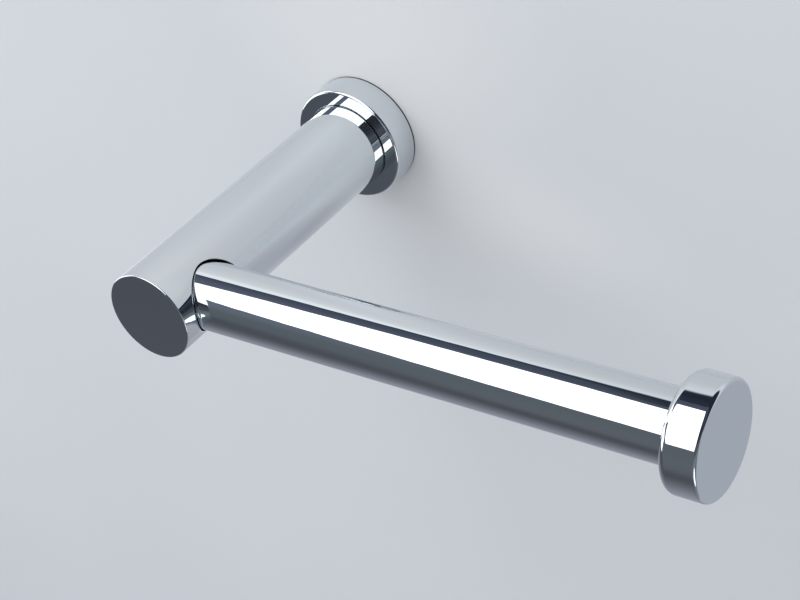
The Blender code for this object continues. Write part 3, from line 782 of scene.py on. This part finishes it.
def make_wall_and_floor():
    """The painted wall, and a pale floor well below the holder."""
    wall = [(x, WALL_SETBACK, z) for x, z in square(REACH)]
    stage_mesh("wall", wall, [(0, 1, 2, 3)], wall_paint_with_painted_light_and_shade())
    material, tree = new_finish("pale_floor")
    add(tree, "OutputMaterial", Surface=add(tree, "BsdfDiffuse", Color=colour("#CDD1D7")))
    floor = [(x, (y - REACH) / 2, FLOOR_HEIGHT) for x, y in square(REACH)]
    stage_mesh("floor", floor, [(0, 1, 2, 3)], material).visible_glossy = False
    # further out only the eye sees it, so that it has no corner and takes no light from the wall
    far_floor = [(x, y, FLOOR_HEIGHT - FAR_FLOOR_DROP) for x, y in square(FAR_FLOOR_REACH)]
    further = stage_mesh("floor_further_out", far_floor, [(0, 1, 2, 3)], material)
    further.visible_glossy = further.visible_diffuse = further.visible_shadow = False


def shining(material, tree, tone, strength):
    """Ends a finish as a glow that the chrome mirrors and that lights nothing."""
    add(tree, "OutputMaterial", Surface=add(tree, "Emission", Color=tone, Strength=strength))
    material.cycles.emission_sampling = "NONE"
    return material


def unlit_room():
    """The room as the chrome mirrors it: a dim floor, dark walls, a darker side on the right.

    Its tones change with the direction out of the wall, and run into each other from left to right.
    """
    material, tree = new_finish("unlit_room")
    place = add(tree, "SeparateXYZ", Vector=add(tree, "NewGeometry").outputs["Position"])
    outwards = add(tree, "Math", TIMES, i0=place.outputs[1], i1=-1.0)
    lift = add(tree, "Math", {"operation": "ARCTAN2"}, i0=place.outputs[2], i1=outwards)
    share = add(tree, "MapRange", Value=lift, From_Min=-math.pi / 2, From_Max=math.pi / 2)
    sides = []
    for tones in (LEFT_TONES, MIDDLE_TONES, RIGHT_TONES):
        tones = [((degrees + 90) / 180, code) for degrees, code in tones]
        sides.append(add(tree, "ValToRGB", {"tones": tones}, Fac=share))
    left, middle, right = sides
    from_left = add(tree, "MapRange", Value=place.outputs[0], From_Min=-1.05, From_Max=-0.72)
    from_middle = add(tree, "MapRange", Value=place.outputs[0], From_Min=0.2, From_Max=0.7)
    tone = add(tree, "MixRGB", Fac=from_left, Color1=left, Color2=middle)
    return shining(material, tree, add(tree, "MixRGB", Fac=from_middle, Color1=tone, Color2=right), 1.0)


def mirrored_wall_tone(tree, place, right, up):
    """The mirrored wall's tone, with painted light and shade: lighter with height, light beside the post,
    dark past the slanted line.
    """
    share = add(tree, "MapRange", Value=up, From_Min=CARD_LOW, From_Max=CARD_HIGH)
    tones = [((level - CARD_LOW) / (CARD_HIGH - CARD_LOW), code) for level, code in CARD_TONES]
    tone = add(tree, "ValToRGB", {"tones": tones}, Fac=share)
    # to the left of the post the wall stays light further down
    leftward = add(tree, "MapRange", Value=right, From_Min=-0.01, From_Max=-0.09)
    not_low = add(tree, "MapRange", Value=up, From_Min=-0.12, From_Max=-0.07)
    low_left = add(tree, "Math", TIMES, i0=leftward, i1=not_low)
    not_high = add(tree, "MapRange", Value=up, From_Min=0.02, From_Max=-0.02)
    low_left = add(tree, "Math", TIMES, i0=low_left, i1=not_high)
    tone = add(tree, "MixRGB", Fac=low_left, Color1=tone, Color2=colour("#EAEAEC"))
    # painted light: the lit part ends above in a slanted line, with a painted highlight just under it
    past = add(tree, "VectorMath", DOT, i0=place, i1=SLANT).outputs["Value"]
    across_start, across_end = SLANT_LINE - SLANT_SPAN / 2, SLANT_LINE + SLANT_SPAN / 2
    across = add(tree, "MapRange", Value=past, From_Min=across_start, From_Max=across_end)
    edge = add(tree, "ValToRGB", {"tones": SLANT_TONES}, Fac=across)
    # painted shade: past the line it is darkest over the roll
    over_roll = add(tree, "VectorMath", DOT, i0=place, i1=OVER_ROLL).outputs["Value"]
    deep = add(tree, "MapRange", Value=over_roll, From_Min=0.09, From_Max=0.15, To_Min=0.0, To_Max=0.85)
    well_past = add(tree, "MapRange", Value=past, From_Min=SLANT_LINE + 0.01, From_Max=SLANT_LINE + 0.05)
    deep = add(tree, "Math", TIMES, i0=deep, i1=well_past)
    edge = add(tree, "MixRGB", Fac=deep, Color1=edge, Color2=colour("#242934"))
    near_start, near_end = SLANT_LINE - SLANT_SPAN * 0.3, SLANT_LINE - SLANT_SPAN * 0.15
    near_line = add(tree, "MapRange", Value=past, From_Min=near_start, From_Max=near_end)
    tone = add(tree, "MixRGB", Fac=near_line, Color1=tone, Color2=edge)
    # low on the right, past the disc, it is a little bluer and lighter
    past_disc = add(tree, "MapRange", Value=right, From_Min=0.14, From_Max=0.18)
    low_down = add(tree, "MapRange", Value=up, From_Min=-0.02, From_Max=-0.06)
    low_right = add(tree, "Math", TIMES, i0=past_disc, i1=low_down)
    return add(tree, "MixRGB", Fac=low_right, Color1=tone, Color2=colour("#B1B6C0"))


def mirrored_wall_strength(tree, place, right, up):
    """How brightly it glows, with painted light and shade: more over the rose and high on the left, less to
    the right and under the post.
    """
    beside_middle = add(tree, "Math", {"operation": "ABSOLUTE"}, i0=right)
    middle = add(tree, "MapRange", Value=beside_middle, From_Min=0.035, From_Max=0.0)
    close_above = add(tree, "MapRange", Value=up, From_Min=0.11, From_Max=0.04)
    thrown = add(tree, "Math", TIMES, i0=middle, i1=close_above)
    darker = add(tree, "MapRange", Value=right, From_Min=0.0, From_Max=0.07, To_Min=0.0, To_Max=-0.07)
    level_up = add(tree, "MapRange", Value=up, From_Min=-0.03, From_Max=0.0)
    darker = add(tree, "Math", TIMES_PLUS, i0=darker, i1=level_up, i2=1.0)
    # a painted soft shadow of the post
    apart = add(tree, "VectorMath", DISTANCE, i0=place, i1=POST_SHADOW).outputs["Value"]
    painted_post_shadow = add(
        tree, "MapRange", SOFTLY, Value=apart, From_Min=0.045, From_Max=0.01, To_Min=0.0, To_Max=-0.12
    )
    darker = add(tree, "Math", PLUS, i0=darker, i1=painted_post_shadow)
    strength = add(tree, "Math", TIMES_PLUS, i0=thrown, i1=0.12, i2=darker)
    far_left = add(tree, "MapRange", Value=right, From_Min=0.0, From_Max=-0.1, To_Min=0.0, To_Max=0.2)
    high_up = add(tree, "MapRange", Value=up, From_Min=0.18, From_Max=0.27)
    return add(tree, "Math", TIMES_PLUS, i0=far_left, i1=high_up, i2=strength)


def wall_beyond():
    """The wall as the chrome mirrors it, a glow with its light and shade painted in: brighter above, falling
    off below, dark beyond the lamp's light.

    Close to the rose it is open, so that the real wall is mirrored there, with its shadows.
    """
    material, tree = new_finish("wall_beyond_the_picture")
    place = add(tree, "NewGeometry").outputs["Position"]
    parts = add(tree, "SeparateXYZ", Vector=place)
    right, up = parts.outputs[0], parts.outputs[2]
    tone = mirrored_wall_tone(tree, place, right, up)
    light = add(tree, "Emission", Color=tone, Strength=mirrored_wall_strength(tree, place, right, up))
    below = add(tree, "MapRange", Value=up, From_Min=-0.02, From_Max=-0.04)
    above = add(tree, "MapRange", Value=up, From_Min=0.012, From_Max=0.03)
    beside = add(tree, "MapRange", Value=right, From_Min=0.13, From_Max=0.17)
    shown = add(tree, "Math", LARGER, i0=below, i1=above)
    shown = add(tree, "Math", LARGER, i0=shown, i1=beside)
    both = add(tree, "MixShader", i0=shown, i1=add(tree, "BsdfTransparent"), i2=light)
    add(tree, "OutputMaterial", Surface=both)
    material.cycles.emission_sampling = "NONE"
    return material


def make_room():
    """The half of a large ball round the holder that lies in front of the wall."""
    shape = bmesh.new()
    bmesh.ops.create_uvsphere(shape, u_segments=ROOM_SIDES, v_segments=ROOM_RINGS, radius=ROOM_RADIUS)
    behind = [point for point in shape.verts if point.co.y > ROOM_BACK]
    bmesh.ops.delete(shape, geom=behind, context="VERTS")
    points = [tuple(point.co) for point in shape.verts]
    faces = [[point.index for point in face.verts] for face in shape.faces]
    shape.free()
    stage_mesh("studio_room", points, faces, unlit_room(), only_mirrored=True)


def make_softbox(cloth):
    """A large round softbox, above and in front of the holder."""
    right = SOFTBOX_WAY.cross(Z).normalized()
    up = right.cross(SOFTBOX_WAY)
    turns = [math.tau * step / SOFTBOX_STEPS for step in range(SOFTBOX_STEPS)]
    spokes = [right * math.cos(turn) + up * math.sin(turn) for turn in turns]
    rim = [SOFTBOX_PLACE + spoke * SOFTBOX_RADIUS for spoke in spokes]
    stage_mesh("softbox_front", rim, [tuple(range(SOFTBOX_STEPS))], cloth, only_mirrored=True)


def make_panels(cloth):
    """Light panels whose corners lie at the same distance, in the directions that PANELS gives."""
    for name, corners in PANELS.items():
        points = []
        for degrees_right, degrees_up in corners:
            aside, lift = math.radians(degrees_right), math.radians(degrees_up)
            level = X * math.sin(aside) - Y * math.cos(aside)
            way = level * math.cos(lift) + Z * math.sin(lift)
            points.append(PANEL_AIM + way * PANEL_DISTANCE)
        stage_mesh(name, points, [tuple(range(len(points)))], cloth, only_mirrored=True)


def make_mirrored_wall():
    """The glowing card that stands for the wall in the chrome, with the wall's light and shade painted in."""
    card = [(x, -CARD_HEIGHT, z) for x, z in square(CARD_REACH)]
    stage_mesh("wall_beyond", card, [(0, 1, 2, 3)], wall_beyond(), only_mirrored=True)


def make_lamps():
    """Two soft lamps that light the wall, and that the chrome doesn't show."""
    for name, lamp in LAMPS.items():
        data = bpy.data.lights.new(name, "AREA")
        data.size = lamp["width"]
        data.energy = lamp["power"]
        light = bpy.data.objects.new(name, data)
        way = Vector(lamp["way"]).normalized()
        light.location = LAMP_AIM + way * lamp["distance"]
        light.rotation_mode = "QUATERNION"
        light.rotation_quaternion = way.to_track_quat("Z", "Y")
        light.visible_glossy = False
        bpy.context.scene.collection.objects.link(light)


def make_world():
    """Even light from all round. The eye and the metal see it pale."""
    world = bpy.data.worlds.new("pale_studio")
    bpy.context.scene.world = world
    world.use_nodes = True
    tree = world.node_tree
    tree.nodes.clear()
    path = add(tree, "LightPath")
    seen = add(tree, "Math", LARGER, i0=path.outputs["Is Camera Ray"], i1=path.outputs["Is Glossy Ray"])
    seen = add(tree, "Math", LARGER, i0=seen, i1=path.outputs["Is Transmission Ray"])
    even = add(tree, "Background", Color=colour("#FFFFFF"), Strength=EVEN_LIGHT)
    pale = add(tree, "Background", Color=colour("#D8DCE1"), Strength=1.0)
    add(tree, "OutputWorld", Surface=add(tree, "MixShader", i0=seen, i1=even, i2=pale))


chrome = bright_chrome()
make_rose(chrome)
make_post(chrome)
make_roll_bar(chrome)
make_end_disc(chrome)
finish_fittings()

make_wall_and_floor()
make_room()
lit_cloth = shining(*new_finish("lit_cloth"), colour("#FFFFFF"), CLOTH_GLOW)
make_softbox(lit_cloth)
make_panels(lit_cloth)
make_mirrored_wall()
make_lamps()
make_world()
make_camera()
bpy.context.scene.view_settings.view_transform = "Standard"
